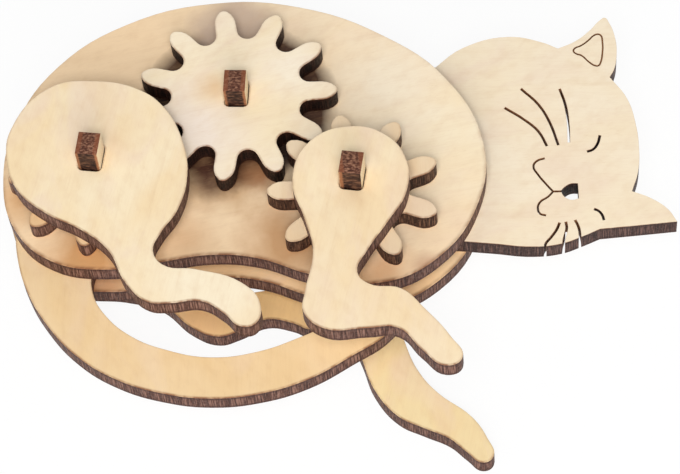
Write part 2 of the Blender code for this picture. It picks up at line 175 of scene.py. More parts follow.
class NodeBoard:
    """A material's node tree, with short calls for the nodes that the finishes use."""

    def __init__(self, name: str) -> None:
        """Makes the material, empty but for its output.

        Args:
            name: The material's name.
        """
        self.material = bpy.data.materials.new(name)
        self.material.use_nodes = True
        self.tree = self.material.node_tree
        self.tree.nodes.clear()
        self.output = self.tree.nodes.new("ShaderNodeOutputMaterial")

    def add(self, kind: str, **values: object) -> bpy.types.Node:
        """Adds a node and sets its properties.

        Args:
            kind: The node's type name.
            **values: Properties of the node.

        Returns:
            The node.
        """
        node = self.tree.nodes.new(kind)
        for key, value in values.items():
            setattr(node, key, value)
        return node

    def link(self, source: Socket, target: Socket) -> None:
        """Joins an output socket to an input socket."""
        self.tree.links.new(source, target)

    def attribute(self, name: str) -> Socket:
        """The value of one of the piece's own attributes."""
        return self.add("ShaderNodeAttribute", attribute_name=name).outputs["Fac"]

    def placed(self, scale: Triple, turn: float = 0.0, shift: Triple = (0, 0, 0)) -> Socket:
        """Object coordinates, turned and then scaled for a stretched pattern.

        Args:
            scale: Cycles per metre along each turned axis.
            turn: Degrees about Z that the pattern's X axis is turned by.
            shift: Offset in metres, so that pieces don't share one pattern.

        Returns:
            The vector socket.
        """
        coordinates = self.add("ShaderNodeTexCoord")
        turned = self.add("ShaderNodeMapping", vector_type="POINT")
        turned.inputs["Location"].default_value = shift
        turned.inputs["Rotation"].default_value = (0, 0, math.radians(-turn))
        scaled = self.add("ShaderNodeMapping", vector_type="POINT")
        scaled.inputs["Scale"].default_value = scale
        self.link(coordinates.outputs["Object"], turned.inputs["Vector"])
        self.link(turned.outputs["Vector"], scaled.inputs["Vector"])
        return scaled.outputs["Vector"]

    def noise(self, pattern: Pattern, turn: float = 0.0, shift: Triple = (0, 0, 0)) -> Socket:
        """A noise pattern on the piece.

        Args:
            pattern: The pattern.
            turn: Degrees about Z from +X to the grain.
            shift: Offset in metres, so that pieces don't share one pattern.

        Returns:
            The noise value, about 0.5 on average.
        """
        node = self.add("ShaderNodeTexNoise")
        node.inputs["Scale"].default_value = 1.0
        node.inputs["Detail"].default_value = pattern.detail
        node.inputs["Roughness"].default_value = pattern.roughness
        node.inputs["Distortion"].default_value = pattern.distortion
        self.link(self.placed(pattern.cycles, turn + pattern.lean, shift), node.inputs["Vector"])
        return node.outputs["Fac"]

    def ramp(self, value: Socket, colours: tuple[Colour, ...]) -> Socket:
        """Colours a value.

        Args:
            value: The value that is coloured, from 0 to 1.
            colours: Linear colours at even steps.

        Returns:
            The colour socket.
        """
        node = self.add("ShaderNodeValToRGB")
        elements = node.color_ramp.elements
        while len(elements) < len(colours):
            elements.new(0.5)
        for step, (element, colour) in enumerate(zip(elements, colours)):
            element.position = step / (len(colours) - 1)
            element.color = (*colour, 1)
        self.link(value, node.inputs["Fac"])
        return node.outputs["Color"]

    def spread(self, value: Socket, low: float, high: float, to: float = 1.0) -> Socket:
        """Stretches a value from low..high to 0..to, clamped.

        Args:
            value: The value that is stretched.
            low: What becomes 0. It can be more than high.
            high: What becomes the top value.
            to: The top value.

        Returns:
            The stretched value.
        """
        node = self.add("ShaderNodeMapRange", clamp=True)
        node.inputs["From Min"].default_value = low
        node.inputs["From Max"].default_value = high
        node.inputs["To Max"].default_value = to
        self.link(value, node.inputs["Value"])
        return node.outputs["Result"]

    def combine(self, operation: str, first: Socket, second: Socket | float) -> Socket:
        """A Math node of two values.

        Args:
            operation: The node's operation, such as ADD or MULTIPLY.
            first: The first value.
            second: The second value, or a number.

        Returns:
            The result.
        """
        node = self.add("ShaderNodeMath", operation=operation)
        self.link(first, node.inputs[0])
        if isinstance(second, float):
            node.inputs[1].default_value = second
        else:
            self.link(second, node.inputs[1])
        return node.outputs["Value"]

    def blend(self, factor: Socket, first: Socket | Colour, second: Colour) -> Socket:
        """Mixes two colours.

        Args:
            factor: Share of the second.
            first: A colour or its socket.
            second: A colour.

        Returns:
            The mixed colour.
        """
        node = self.add("ShaderNodeMix", data_type="RGBA")
        # The node has sockets for each data type, and these are the ones for colours
        ground, cover, mixed = node.inputs[6], node.inputs[7], node.outputs[2]
        self.link(factor, node.inputs[0])
        if isinstance(first, Socket):
            self.link(first, ground)
        else:
            ground.default_value = (*first, 1)
        cover.default_value = (*second, 1)
        return mixed

    def tint(
        self,
        ground: Socket | Colour,
        colour: Colour,
        value: Socket,
        between: tuple[float, float],
        share: float = 1.0,
    ) -> Socket:
        """Lays a colour over a ground where a value is high.

        Args:
            ground: A colour or its socket.
            colour: What covers it.
            value: The value that decides.
            between: The values where the cover starts and where it is full.
            share: How much of the ground a full cover hides.

        Returns:
            The tinted colour.
        """
        return self.blend(self.spread(value, *between, share), ground, colour)

    def nearness(self, patch: ShadeAndTonePatch) -> Socket:
        """How much a patch covers each place, with a cloudy edge.

        Args:
            patch: The patch.

        Returns:
            The value, at most the patch's share.
        """
        inner, outer = patch.inner * MM, patch.outer * MM
        fade = outer - inner
        away = self.add("ShaderNodeVectorMath", operation="DISTANCE")
        away.inputs[1].default_value = (patch.x * MM, patch.y * MM, 0.0)
        # Height is left out, so that the distance is the one from the upright line
        self.link(self.placed((1, 1, 0)), away.inputs[0])
        cloud = self.noise(PATCH_EDGE)
        sway = self.spread(cloud, *PATCH_EDGE.between, PATCH_EDGE.share * fade)
        reach = self.combine("ADD", away.outputs["Value"], sway)
        return self.spread(reach, outer + PATCH_SPILL * fade, inner, patch.share)

    def shade(
        self, colour: Socket, roughness: Socket, relief: Socket, depth: float, specular: float
    ) -> bpy.types.Material:
        """Ends the tree in a Principled shader with bump.

        Args:
            colour: Base colour.
            roughness: Roughness.
            relief: Height of the bump, 0 to 1.
            depth: Depth of the bump in metres.
            specular: Specular level.

        Returns:
            The material.
        """
        shader = self.add("ShaderNodeBsdfPrincipled")
        shader.inputs["Specular IOR Level"].default_value = specular
        bump = self.add("ShaderNodeBump")
        bump.inputs["Distance"].default_value = depth
        self.link(relief, bump.inputs["Height"])
        self.link(colour, shader.inputs["Base Color"])
        self.link(roughness, shader.inputs["Roughness"])
        self.link(bump.outputs["Normal"], shader.inputs["Normal"])
        self.link(shader.outputs["BSDF"], self.output.inputs["Surface"])
        return self.material


@dataclass(frozen=True)
class BirchVeneer:
    """The face veneer of one sheet: pale birch, clouded and dappled, with a toasted rim."""

    name: str
    pale: Colour
    warm: Colour
    tan: Colour
    grain: Grain = Grain.ALONG
    shift: Triple = (0.0, 0.0, 0.0)
    tan_towards: float = 0.0
    tan_share: float = 0.25
    tan_edges: tuple[float, float] = (0.35, 0.75)
    shade_and_tone_patches: tuple[ShadeAndTonePatch, ...] = ()
    fibre: Colour = linear(206, 164, 118)
    blush: Colour = linear(238, 214, 194)
    blush_share: float = FLUSHES.share
    toast: Colour = linear(140, 92, 60)
    toast_edges: tuple[float, float] = (0.1, 0.55)
    toast_power: float = 1.5
    streak_relief: float = 0.5
    relief_depth: float = 0.012 * MM
    roughest: float = 0.95
    specular: float = 0.25

    def tan_slope(self, board: NodeBoard) -> Socket:
        """A value that rises across the piece to its tan side, with a cloudy front.

        Args:
            board: The node tree that gets the nodes.

        Returns:
            The value.
        """
        split = board.add("ShaderNodeSeparateXYZ")
        board.link(board.placed(TAN_CYCLES, self.tan_towards), split.inputs["Vector"])
        across = board.combine("ADD", split.outputs["X"], 0.5)
        drift = board.noise(DRIFT, self.grain.value, self.shift)
        return board.combine("ADD", across, board.spread(drift, *DRIFT.between, DRIFT.share))

    def material(self) -> bpy.types.Material:
        """Builds the node tree, from the ground up to the toast on the rims.

        Returns:
            The material.
        """
        board = NodeBoard(self.name)
        turn = self.grain.value
        elsewhere = tuple(PATTERN_OFFSET - part for part in self.shift)
        clouds = board.noise(CLOUDS, turn, self.shift)
        flushes = board.noise(FLUSHES, turn, elsewhere)
        dapple = board.noise(DAPPLE, turn, elsewhere)
        streaks = board.noise(STREAKS, turn, self.shift)
        fibres = board.noise(FIBRES, turn, self.shift)
        pores = board.noise(PORES, turn, elsewhere)

        colour = board.tint(self.warm, self.pale, clouds, CLOUDS.between)
        colour = board.tint(colour, self.blush, flushes, FLUSHES.between, self.blush_share)
        tan_slope = self.tan_slope(board)
        colour = board.tint(colour, self.tan, tan_slope, self.tan_edges, self.tan_share)
        # Patches over the ground: painted shade on the plates and the hind drive's rear leg,
        # painted light on the front plate's back, and the wood's own tone and toast elsewhere
        for patch in self.shade_and_tone_patches:
            colour = board.blend(board.nearness(patch), colour, patch.colour)
        fine = ((dapple, DAPPLE), (streaks, STREAKS), (fibres, FIBRES), (pores, PORES))
        for value, pattern in fine:
            colour = board.tint(colour, self.fibre, value, pattern.between, pattern.share)
        patchy = board.spread(dapple, *self.toast_edges)
        toasted = board.combine("MULTIPLY", board.attribute(TOAST), patchy)
        colour = board.blend(board.combine("POWER", toasted, self.toast_power), colour, self.toast)

        ridges = board.combine("MULTIPLY", streaks, self.streak_relief)
        relief = board.combine("ADD", fibres, ridges)
        roughness = board.spread(streaks, 1.0, 0.0, self.roughest)
        return board.shade(colour, roughness, relief, self.relief_depth, self.specular)


@dataclass(frozen=True)
class CharredCut:
    """A wall that the laser cut: dark char with burnt streaks, the plies showing through."""

    name: str
    streak_cycles: Triple = (6800, 6800, 300)
    streak_edges: tuple[float, float] = (0.32, 0.68)
    soot: Colour = linear(55, 32, 25)
    char: Colour = linear(86, 55, 45)
    ash: Colour = linear(138, 102, 87)
    outer_ply: Colour = linear(56, 31, 24)
    ply_edge: float = 0.60
    ply_fade: float = 0.12
    outer_share: float = 0.6
    speck_share: float = SPECKS.share
    rim: Colour = linear(138, 87, 54)
    rim_edges: tuple[float, float] = (0.97, 1.08)
    rim_share: float = 0.5
    speck_relief: float = 0.5
    relief_depth: float = 0.06 * MM
    roughness_edges: tuple[float, float] = (1.2, 0.0)
    specular: float = 0.2

    def material(self) -> bpy.types.Material:
        """Builds the node tree, from the streaks up to the rims.

        Returns:
            The material.
        """
        board = NodeBoard(self.name)
        streaks = board.noise(Pattern(self.streak_cycles, self.streak_edges, detail=1.0))
        specks = board.noise(SPECKS)
        burn = board.noise(BURN)

        # Distance from the middle of the sheet, 0 in the core and 1 at either face
        middle = board.add("ShaderNodeMath", operation="ABSOLUTE")
        height = board.attribute(SHEET_HEIGHT)
        board.link(board.combine("SUBTRACT", height, 0.5), middle.inputs[0])
        outwards = board.combine("MULTIPLY", middle.outputs["Value"], 2.0)
        ragged = board.spread(specks, *RAGGED.between, RAGGED.share)
        wavy = board.combine("ADD", outwards, ragged)

        streaked = board.spread(streaks, *self.streak_edges)
        colour = board.ramp(streaked, (self.soot, self.char, self.ash))
        outer = (self.ply_edge, self.ply_edge + self.ply_fade)
        colour = board.tint(colour, self.outer_ply, wavy, outer, self.outer_share)
        colour = board.tint(colour, self.ash, specks, SPECKS.between, self.speck_share)
        colour = board.tint(colour, self.soot, burn, BURN.between, BURN.share)
        colour = board.tint(colour, self.rim, wavy, self.rim_edges, self.rim_share)

        bumps = board.combine("MULTIPLY", specks, self.speck_relief)
        relief = board.combine("ADD", streaks, bumps)
        roughness = board.spread(specks, *self.roughness_edges)
        return board.shade(colour, roughness, relief, self.relief_depth, self.specular)


SHEET_CUT = CharredCut("charred_cut")
# Char darkened with painted shade, for the walls deep between the idler gear's teeth and inside the
# nose hole: partly heavier char and partly the shade that falls there
CHAR_WITH_PAINTED_SHADE = CharredCut(
    "charred_cut_with_painted_shade",
    soot=linear(12, 5, 3),
    char=linear(26, 12, 8),
    ash=linear(58, 34, 25),
    outer_ply=linear(48, 22, 12),
    speck_share=0.3,
    rim=linear(108, 62, 34),
)
# Char darkened with painted shade, for the walls between the fore gear's teeth: partly heavier char
# and partly the shade that falls there
FORE_GEAR_CHAR_WITH_PAINTED_SHADE = CharredCut(
    "charred_fore_gear_cut_with_painted_shade",
    soot=linear(30, 14, 9),
    char=linear(60, 35, 25),
    ash=linear(118, 84, 64),
    outer_ply=linear(50, 25, 15),
    rim=linear(112, 66, 38),
)
HEAD_CUT = CharredCut(
    "charred_head_cut",
    soot=linear(38, 23, 20),
    char=linear(62, 42, 37),
    ash=linear(108, 80, 71),
    outer_ply=linear(44, 26, 21),
)
SCORED_LINE = CharredCut(
    "scored_line",
    soot=linear(112, 72, 44),
    char=linear(150, 104, 68),
    ash=linear(190, 146, 104),
    outer_ply=linear(150, 104, 68),
    rim=linear(170, 122, 82),
)
# Char lightened with painted light: the face's narrow cuts get a pale brown that stands in for
# light bouncing into them
FACE_LINE_PAINTED_LIGHT = CharredCut(
    "charred_face_line_painted_light",
    soot=linear(96, 60, 38),
    char=linear(140, 92, 60),
    ash=linear(180, 134, 96),
    outer_ply=linear(150, 100, 64),
)
BAR_SIDE = CharredCut(
    "charred_bar_side",
    streak_cycles=(900, 900, 2600),
    soot=linear(32, 17, 12),
    char=linear(58, 34, 25),
    ash=linear(108, 74, 54),
    outer_ply=linear(164, 108, 72),
    ply_edge=0.74,
    outer_share=0.75,
    rim=linear(232, 196, 152),
)
BAR_END = CharredCut(
    "charred_bar_end",
    streak_cycles=(2200, 3600, 2200),
    soot=linear(66, 36, 27),
    char=linear(98, 60, 45),
    ash=linear(152, 110, 86),
    outer_ply=linear(134, 78, 52),
    ply_edge=0.58,
    outer_share=0.75,
    speck_share=0.55,
    rim=linear(116, 68, 46),
)


class MaterialShelf:
    """Builds each finish once and hands it to every piece that asks."""

    def __init__(self) -> None:
        """Starts empty."""
        self.made: dict[BirchVeneer | CharredCut, bpy.types.Material] = {}

    def get(self, finish: BirchVeneer | CharredCut) -> bpy.types.Material:
        """The material of a finish.

        Args:
            finish: A veneer or a cut.

        Returns:
            Its material, made on the first call.
        """
        if finish not in self.made:
            self.made[finish] = finish.material()
        return self.made[finish]


MATERIALS = MaterialShelf()


def deselect_all() -> None:
    """Leaves object mode with nothing selected, because an operator acts on all that is."""
    if bpy.context.object and bpy.context.object.mode != "OBJECT":
        bpy.ops.object.mode_set(mode="OBJECT")
    bpy.ops.object.select_all(action="DESELECT")


def pick_faces(piece: bpy.types.Object, wanted: Wanted) -> None:
    """Enters edit mode with only the wanted faces selected.

    Args:
        piece: The active piece.
        wanted: Takes a face's centre and normal and says whether it is picked.
    """
    bpy.ops.object.mode_set(mode="OBJECT")
    mesh = piece.data
    for vertex in mesh.vertices:
        vertex.select = False
    for edge in mesh.edges:
        edge.select = False
    for face in mesh.polygons:
        face.select = wanted(face.center, face.normal)
    bpy.context.tool_settings.mesh_select_mode = (False, False, True)
    bpy.ops.object.mode_set(mode="EDIT")


def copy_of_node(node: str, name: str) -> bpy.types.Object:
    """A merged copy of a CAD node, its flat faces each made one face again.

    Args:
        node: The CAD node's name.
        name: The new piece's name.

    Returns:
        The piece, in edit mode, active and alone in the selection.
    """
    deselect_all()
    piece = bpy.data.objects.new(name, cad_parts[node].data.copy())
    bpy.context.scene.collection.objects.link(piece)
    piece.data.materials.clear()
    piece.select_set(True)
    bpy.context.view_layer.objects.active = piece
    if piece.data.has_custom_normals:
        bpy.ops.mesh.customdata_custom_splitnormals_clear()
    bpy.ops.object.mode_set(mode="EDIT")
    bpy.ops.mesh.select_all(action="SELECT")
    bpy.ops.mesh.remove_doubles(threshold=0.001 * MM)
    bpy.ops.mesh.dissolve_limited(angle_limit=math.radians(MERGE_ANGLE))
    bpy.ops.mesh.normals_make_consistent(inside=False)
    return piece


def refill_flat() -> None:
    """Fills the selected flat faces anew between their outlines, because an inset folds them.

    The old faces met along edges that the moved outline can cross. Without the faces these edges
    are wires and are deleted too, which leaves the outlines as the only open edges.
    """
    bpy.ops.mesh.delete(type="ONLY_FACE")
    bpy.context.tool_settings.mesh_select_mode = (False, True, False)
    for use_wire in (True, False):
        bpy.ops.mesh.select_non_manifold(
            extend=False,
            use_wire=use_wire,
            use_boundary=not use_wire,
            use_multi_face=False,
            use_non_contiguous=False,
            use_verts=False,
        )
        if use_wire:
            bpy.ops.mesh.delete(type="EDGE")
    bpy.ops.mesh.fill(use_beauty=True)


def store(piece: bpy.types.Object, name: str, value_at: Callable[[int, Vector], float]) -> None:
    """Writes a value per vertex for the materials.

    Args:
        piece: The piece, in object mode.
        name: The attribute's name.
        value_at: Takes a vertex's index and place and gives its value.
    """
    layer = piece.data.attributes.new(name, "FLOAT", "POINT")
    layer.data.foreach_set(
        "value", [value_at(vertex.index, vertex.co) for vertex in piece.data.vertices]
    )


@dataclass
class SheetPiece:
    """A flat piece cut from the sheet: a plate, the head, the tail, a gear or a leg."""

    node: str
    body: str
    slot: str
    veneer: BirchVeneer
    cut: CharredCut
    rim_width: float = 0.07 * MM
    rim_drop: float = 0.05 * MM
    toast_width: float = 0.30 * MM
    toast_mean: float = 0.55
    toast_swing: float = 0.45

    def soften_rim(self, piece: bpy.types.Object, side: float) -> None:
        """Gives one face of the sheet a small chamfer and the band that carries the toast.

        Args:
            piece: The piece, in edit mode.
            side: 1 for the front face, -1 for the back.
        """
        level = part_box(self.node)[side > 0].z
        pick_faces(
            piece,
            lambda centre, normal: normal.z * side > FLAT_Z and abs(centre.z - level) < 0.01 * MM,
        )
        bpy.ops.transform.translate(value=(0, 0, -side * self.rim_drop))
        bpy.ops.mesh.inset(thickness=self.rim_width, depth=self.rim_drop)
        bpy.ops.mesh.inset(thickness=self.toast_width, depth=0)
        refill_flat()

    def build(self) -> bpy.types.Object:
        """Models and dresses the piece in place of its CAD node.

        Returns:
            The finished piece.
        """
        piece = copy_of_node(self.node, f"cut_{self.node}")
        for side in (1.0, -1.0):
            self.soften_rim(piece, side)
        bpy.ops.mesh.select_all(action="SELECT")
        bpy.ops.mesh.normals_make_consistent(inside=False)
        bpy.ops.object.mode_set(mode="OBJECT")
        self.dress(piece)
        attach(piece, self.body)
        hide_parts(self.node)
        return piece

    def finishes(self) -> tuple[BirchVeneer | CharredCut, ...]:
        """The finishes in the order of their material slots."""
        return (self.veneer, self.cut)

    def dress(self, piece: bpy.types.Object) -> None:
        """Gives the faces veneer, the walls char, and stores what both materials read.

        Args:
            piece: The piece, in object mode.
        """
        low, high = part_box(self.node)
        for finish in self.finishes():
            piece.data.materials.append(MATERIALS.get(finish))
        wall_facing: dict[int, Vector] = {}
        for face in piece.data.polygons:
            is_wall = abs(face.normal.z) < WALL_Z
            is_scored = face.normal.z > FLAT_Z and face.center.z < high.z - SCORE_DEPTHS[0]
            face.material_index = VENEER_SLOT
            if is_wall or is_scored:
                face.material_index = self.cut_slot(face, high.z)
            if abs(face.normal.z) < FLAT_Z:
                for index in face.vertices:
                    wall_facing[index] = wall_facing.get(index, Vector()) + face.normal
        # The toasted band is strongest beside walls that face the puzzle's lower edge, and faintest
        # beside those that face up
        toast = {
            index: self.toast_mean - self.toast_swing * facing.to_2d().normalized().y
            for index, facing in wall_facing.items()
        }
        store(piece, TOAST, lambda index, place: toast.get(index, 0.0))
        store(piece, SHEET_HEIGHT, lambda index, place: (place.z - low.z) / (high.z - low.z))
        bpy.ops.object.shade_smooth_by_angle(angle=math.radians(SMOOTH_ANGLE))
        for face in piece.data.polygons:
            if abs(face.normal.z) > FLAT_Z:
                face.use_smooth = False

    def cut_slot(self, face: bpy.types.MeshPolygon, top: float) -> int:
        """The material slot of a cut face.

        Args:
            face: The face.
            top: Height of the piece's front face.

        Returns:
            The slot's number.
        """
        return CHAR_SLOT


@dataclass
class HeadPiece(SheetPiece):
    """The head, with the cuts of the face and the engraved ear line.

    A box gives low and high X, then low and high Y, in millimetres. The face's box holds part of
    the chin's own edge, which faces down, while the whiskers' cuts there face sideways.
    """

    line_cut: CharredCut = FACE_LINE_PAINTED_LIGHT
    hole_cut: CharredCut = CHAR_WITH_PAINTED_SHADE
    face_box: tuple[float, float, float, float] = (20.0, 35.0, -5.2, 22.0)
    nose_box: tuple[float, float, float, float] = (31.15, 33.8, 1.2, 4.2)
    chin_level: float = -2.8
    whisker_facing: float = 0.75

    def finishes(self) -> tuple[BirchVeneer | CharredCut, ...]:
        """The veneer, the outer cut, the engraved line, the face's lines and the nose hole."""
        return (*super().finishes(), SCORED_LINE, self.line_cut, self.hole_cut)

    def cut_slot(self, face: bpy.types.MeshPolygon, top: float) -> int:
        """The material slot of a cut face.

        Args:
            face: The face.
            top: Height of the piece's front face.

        Returns:
            The slot's number.
        """
        if face.center.z > top - SCORE_DEPTHS[1]:
            return SCORE_SLOT
        x, y = face.center.x / MM, face.center.y / MM
        is_chin = y < self.chin_level and abs(face.normal.x) < self.whisker_facing
        for box, slot in ((self.nose_box, HOLE_SLOT), (self.face_box, LINE_SLOT)):
            if box[0] < x < box[1] and box[2] < y < box[3] and not is_chin:
                return slot
        return CHAR_SLOT


@dataclass
class ShaftBar:
    """A bar cut from the same sheet, standing through its gears and legs."""

    node: str
    body: str
    slot: str
    veneer: BirchVeneer
    side_cut: CharredCut
    end_cut: CharredCut
    edge_round: float = 0.12 * MM
    edge_toast: float = 0.6
    veneer_facing: float = 0.75
    end_facing: float = 0.6

    def build(self) -> bpy.types.Object:
        """Models and dresses the bar in place of its CAD node.

        Returns:
            The finished piece.
        """
        piece = copy_of_node(self.node, f"cut_{self.node}")
        bpy.ops.mesh.select_all(action="SELECT")
        bpy.ops.mesh.bevel(offset=self.edge_round, segments=2, profile=0.6, affect="EDGES")
        bpy.ops.object.mode_set(mode="OBJECT")
        self.dress(piece)
        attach(piece, self.body)
        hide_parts(self.node)
        return piece

    def dress(self, piece: bpy.types.Object) -> None:
        """Gives the two veneer sides their finish, and the cut sides and ends char.

        Args:
            piece: The bar, in object mode.
        """
        # The plies are stacked along the side that faces most to the front of the cat
        sides = [face.normal.copy() for face in piece.data.polygons if abs(face.normal.z) < WALL_Z]
        through = max(sides, key=lambda normal: normal.x)
        for finish in (self.veneer, self.side_cut, self.end_cut):
            piece.data.materials.append(MATERIALS.get(finish))
        burnt = set()
        for face in piece.data.polygons:
            is_cut = abs(face.normal.dot(through)) < self.veneer_facing
            is_end = abs(face.normal.z) > self.end_facing
            face.material_index = END_SLOT if is_end else CHAR_SLOT if is_cut else VENEER_SLOT
            if is_cut or is_end:
                burnt.update(face.vertices)
        reach = [vertex.co.dot(through) for vertex in piece.data.vertices]
        low, high = min(reach), max(reach)
        store(piece, TOAST, lambda index, place: self.edge_toast * (index in burnt))
        store(piece, SHEET_HEIGHT, lambda index, place: (reach[index] - low) / (high - low))
        bpy.ops.object.shade_smooth_by_angle(angle=math.radians(SMOOTH_ANGLE))


@dataclass
class BodyStack:
    """The two plates, and the head and tail that are glued between them."""

    body: str = "body"
    plate_toast: float = 0.55 * MM
    head_rim: float = 0.02 * MM
    head_toast: float = 0.05 * MM
    front_plate: BirchVeneer = BirchVeneer(
        "veneer_front_plate",
        pale=linear(251, 237, 209),
        warm=linear(249, 230, 196),
        tan=linear(249, 217, 176),
        grain=Grain.SLANTED,
        # The belly, to the lower left, is the tan side: partly the wood's own tan and partly
        # painted shade under the legs and gears
        tan_towards=222.0,
        tan_share=0.9,
        shade_and_tone_patches=(
            # Painted shade between the legs, and along the edge round the hind leg
            ShadeAndTonePatch(-6.5, -6.0, 3.5, 9.5, 0.9, linear(196, 148, 102)),
            ShadeAndTonePatch(-34.5, -8.0, 3.5, 8.0, 0.9, linear(208, 152, 96)),
            ShadeAndTonePatch(-44.5, 2.0, 1.5, 5.0, 0.7, linear(216, 164, 108)),
            # The paler back: partly the wood's own tone and partly painted light
            ShadeAndTonePatch(8.0, 20.5, 4.0, 11.0, 0.7, linear(251, 238, 214)),
            # Painted shade below the fore gear, and beside the hind leg's shin
            ShadeAndTonePatch(6.5, -10.5, 1.5, 5.5, 0.7, linear(226, 172, 124)),
            ShadeAndTonePatch(12.8, -10.5, 1.2, 3.2, 0.8, linear(200, 154, 122)),
            ShadeAndTonePatch(-20.5, -5.5, 1.5, 5.0, 0.45, linear(216, 168, 120)),
            # Shade under the idler gear, round its lowest tooth and behind its top ones
            ShadeAndTonePatch(-15.5, 8.0, 5.0, 10.5, 0.75, linear(190, 140, 86)),
            ShadeAndTonePatch(-13.95, 16.4, 12.3, 14.3, 0.97, linear(60, 28, 16)),
            ShadeAndTonePatch(-17.5, 4.5, 1.6, 4.2, 0.85, linear(72, 38, 26)),
            ShadeAndTonePatch(-10.8, 4.4, 1.0, 3.6, 0.8, linear(176, 124, 84)),
            ShadeAndTonePatch(-15.0, 29.0, 4.5, 7.5, 0.88, linear(206, 180, 158)),
            # Painted deep shade in the gaps where it meshes with the end gears
            ShadeAndTonePatch(-25.0, 18.5, 2.4, 3.4, 1.0, linear(30, 16, 12)),
            ShadeAndTonePatch(-7.0, 9.0, 2.2, 3.6, 1.0, linear(40, 22, 16)),
        ),
    )
    back_plate: BirchVeneer = BirchVeneer(
        "veneer_back_plate",
        pale=linear(250, 222, 180),
        warm=linear(246, 212, 166),
        tan=linear(240, 202, 154),
        grain=Grain.SLANTED,
        shift=(0.11, 0.05, 0.0),
        # Painted shade beside the hind leg
        shade_and_tone_patches=(ShadeAndTonePatch(-33.8, -8.8, 2.5, 6.5, 0.8, linear(208, 152, 108)),),
    )
    head: BirchVeneer = BirchVeneer(
        "veneer_head",
        pale=linear(250, 237, 213),
        warm=linear(248, 232, 203),
        tan=linear(240, 217, 183),
        shift=(0.21, 0.02, 0.0),
    )
    # The tail's warmer ground is partly the wood's own tone and partly painted warm shade between
    # the plates
    tail: BirchVeneer = BirchVeneer(
        "veneer_tail",
        pale=linear(241, 212, 167),
        warm=linear(237, 205, 156),
        tan=linear(232, 197, 148),
        grain=Grain.UPRIGHT,
        shift=(0.05, 0.31, 0.0),
        blush_share=0.2,
    )

    def build(self) -> list[bpy.types.Object]:
        """Builds the four glued pieces.

        Returns:
            The finished pieces.
        """
        plates = (("front_body_plate", self.front_plate), ("back_body_plate", self.back_plate))
        pieces = [
            SheetPiece(
                node, self.body, "body_plywood", finish, SHEET_CUT, toast_width=self.plate_toast
            )
            for node, finish in plates
        ]
        pieces.append(SheetPiece("tail", self.body, "tail_plywood", self.tail, SHEET_CUT))
        pieces.append(
            HeadPiece(
                "head",
                self.body,
                "head_plywood",
                self.head,
                HEAD_CUT,
                rim_width=self.head_rim,
                rim_drop=self.head_rim,
                toast_width=self.head_toast,
            )
        )
        return [piece.build() for piece in pieces]


@dataclass(frozen=True)
class Tones:
    """The two ground colours of a veneer, and its patches of another tone."""

    pale: Colour
    warm: Colour
    shade_and_tone_patches: tuple[ShadeAndTonePatch, ...] = ()


# The pale ground of the front legs and of the bars
LEG_TONES = Tones(linear(248, 230, 196), linear(245, 221, 180))


@dataclass
class DriveSet:
    """One shaft with everything that turns with it: gears on both sides, and legs if it has any."""

    prefix: str
    shift: Triple
    gear_grain: Grain
    gear: Tones
    gear_cut: CharredCut = CHAR_WITH_PAINTED_SHADE
    front_leg: Tones | None = None
    rear_leg: Tones | None = None
    bar: Tones = LEG_TONES
    tan: Colour = linear(234, 204, 164)

    def veneer(self, name: str, tones: Tones, grain: Grain) -> BirchVeneer:
        """A veneer of this drive.

        Args:
            name: The piece that it is for.
            tones: Its colours.
            grain: Its direction.

        Returns:
            The finish.
        """
        ground = (tones.pale, tones.warm, self.tan)
        return BirchVeneer(f"veneer_{name}", *ground, grain, self.shift, shade_and_tone_patches=tones.shade_and_tone_patches)

    def build(self) -> list[bpy.types.Object]:
        """Builds the gears, the legs and the bar of this drive.

        Returns:
            The finished pieces.
        """
        body = f"{self.prefix}_drive"
        hidden_gear = replace(self.gear, shade_and_tone_patches=())
        pieces = []
        for end, gear_tones, leg_tones in (
            ("front", self.gear, self.front_leg),
            ("rear", hidden_gear, self.rear_leg),
        ):
            gear = f"{end}_{self.prefix}_gear"
            finish = self.veneer(gear, gear_tones, self.gear_grain)
            pieces.append(SheetPiece(gear, body, "gear_plywood", finish, self.gear_cut))
            if leg_tones:
                leg = f"{end}_{self.prefix}_leg"
                finish = self.veneer(leg, leg_tones, Grain.LEANING)
                pieces.append(SheetPiece(leg, body, "leg_plywood", finish, SHEET_CUT))
        bar = f"{self.prefix}_shaft"
        finish = self.veneer(bar, self.bar, Grain.UPRIGHT)
        pieces.append(ShaftBar(bar, body, "shaft_plywood", finish, BAR_SIDE, BAR_END))
        return [piece.build() for piece in pieces]


HIND_DRIVE = DriveSet(
    "hind",
    shift=(0.4, 0.1, 0.0),
    gear_grain=Grain.UPRIGHT,
    gear=Tones(linear(240, 208, 164), linear(234, 196, 148)),
    gear_cut=SHEET_CUT,
    front_leg=replace(
        LEG_TONES,
        shade_and_tone_patches=(
            ShadeAndTonePatch(-16.5, -16.5, 5.0, 10.0, 0.8, linear(249, 236, 209)),
            ShadeAndTonePatch(-30.0, 7.0, 1.0, 5.0, 0.35, linear(226, 190, 146)),
        ),
    ),
    # The rear leg lies under the plates: its warmer ground is partly the wood's own tone and partly
    # painted warm shade, and its patches are painted shade on the foot
    rear_leg=Tones(
        linear(250, 224, 174),
        linear(246, 214, 160),
        shade_and_tone_patches=(
            ShadeAndTonePatch(-14.0, -9.0, 8.0, 13.0, 0.9, linear(255, 218, 157)),
            ShadeAndTonePatch(-20.0, -11.5, 2.5, 5.5, 0.5, linear(240, 190, 142)),
        ),
    ),
)
